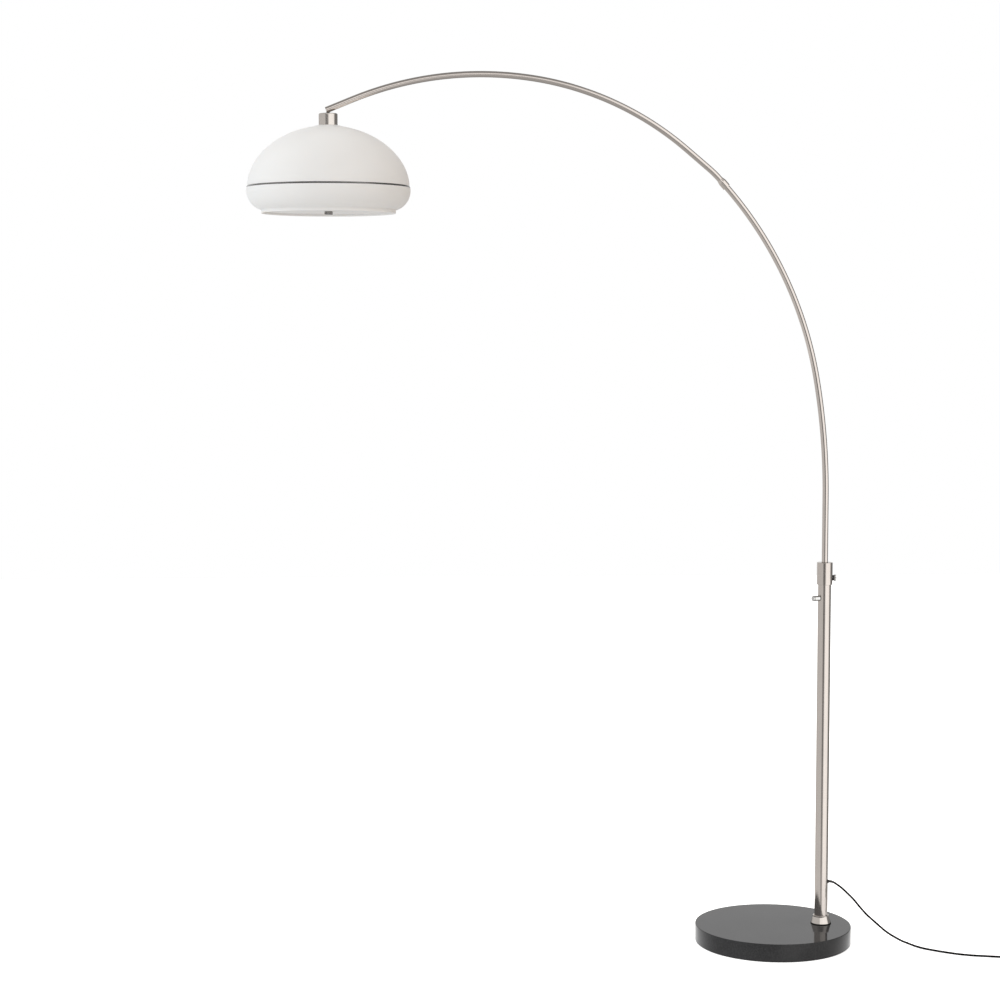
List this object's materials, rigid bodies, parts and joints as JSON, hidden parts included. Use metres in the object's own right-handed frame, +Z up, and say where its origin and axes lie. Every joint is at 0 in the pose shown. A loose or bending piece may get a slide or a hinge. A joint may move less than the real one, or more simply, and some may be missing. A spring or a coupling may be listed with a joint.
{
  "type": "arc floor lamp",
  "caption": "Arc floor lamp: a round stone base and pole carry a bent two-part arm that swivels in the pole's head and holds an opal dome shade over the floor.",
  "frame": {"origin": "middle of the base's underside, on the floor", "axes": "+Z up; the arm reaches towards -X in the plane y = 0; the mains cord leaves the pole towards +X"},
  "size_m": [1.8909, 0.3898, 2.1116],
  "materials": {
    "stone": "polished",
    "felt": "felt",
    "nickel": "satin nickel plate",
    "bright": "bright nickel plate",
    "band": "bright nickel plate",
    "zinc": "zinc plate",
    "opal": "satin opal acrylic",
    "white_plastic": "satin",
    "bulb": "satin opal",
    "black_plastic": "satin",
    "cord": "smooth",
    "strap": "satin",
    "pins": "nickel-plated brass"
  },
  "bodies": {
    "stand": {"base_stone": "stone", "base_felt": "felt", "base_bolt": "zinc", "base_washer": "zinc", "foot_gasket": "black_plastic", "foot_cone": "nickel", "pole_tube": "nickel", "pole_plug": "zinc", "pole_sleeve": "nickel", "arm_socket": "zinc", "switch_body": "black_plastic", "switch_nut": "zinc", "pole_lead": "cord", "strain_relief": "black_plastic", "mains_cord": "cord", "cord_coil": "cord", "cord_tail": "cord", "cord_tie": "strap", "plug_body": "black_plastic", "plug_pins": "pins"},
    "switch": {"switch_knob": "bright"},
    "clamp_tip": {"clamp_pad": "white_plastic"},
    "clamp": {"clamp_screw": "bright"},
    "arm": {"lower_arm_tube": "nickel", "coupling_pin": "zinc", "arm_ferrule": "nickel", "upper_arm_tube": "nickel", "arm_end_plug": "black_plastic", "arm_lead": "cord", "tip_nipple": "black_plastic", "shade_cap": "nickel", "rod_coupler": "zinc", "hanging_rod": "zinc", "dome_washer": "zinc", "dome_nut": "zinc", "shade_dome": "opal", "trim_ring": "band", "shade_bowl": "opal", "lamp_hub": "zinc", "hub_nut": "zinc", "lampholders": "white_plastic", "bulbs": "bulb", "stop_nut": "zinc"},
    "diffuser_plate": {"diffuser": "opal"},
    "finial_nut": {"finial": "bright"}
  },
  "joints": [
    {"name": "arm_swivel", "type": "hinge", "parent": "stand", "child": "arm", "pos_m": [0.119, 0, 0.9], "axis": [0, 0, 1], "range_deg": [-170, 170]},
    {"name": "switch_turn", "type": "hinge", "parent": "stand", "child": "switch", "pos_m": [0.119, 0, 0.849], "axis": [-0.9063, -0.4226, 0], "range_deg": [0, 300]},
    {"name": "clamp_slide", "type": "slide", "parent": "stand", "child": "clamp_tip", "axis": [1, 0, 0], "range_m": [0, 0.002]},
    {"name": "clamp_turn", "type": "hinge", "parent": "clamp_tip", "child": "clamp", "pos_m": [0.119, 0, 0.898], "axis": [1, 0, 0], "range_deg": [0, 720]},
    {"name": "diffuser_drop", "type": "slide", "parent": "arm", "child": "diffuser_plate", "axis": [0, 0, -1], "range_m": [0, 0.005]},
    {"name": "finial_turn", "type": "hinge", "parent": "diffuser_plate", "child": "finial_nut", "pos_m": [-1.07848, 0, 1.776], "axis": [0, 0, -1], "range_deg": [0, 1800]}
  ],
  "couplings": [
    {"joint": "clamp_turn", "follows": "clamp_slide", "rad_per_m": 6283.2},
    {"joint": "finial_turn", "follows": "diffuser_drop", "rad_per_m": 6283.2}
  ]
}
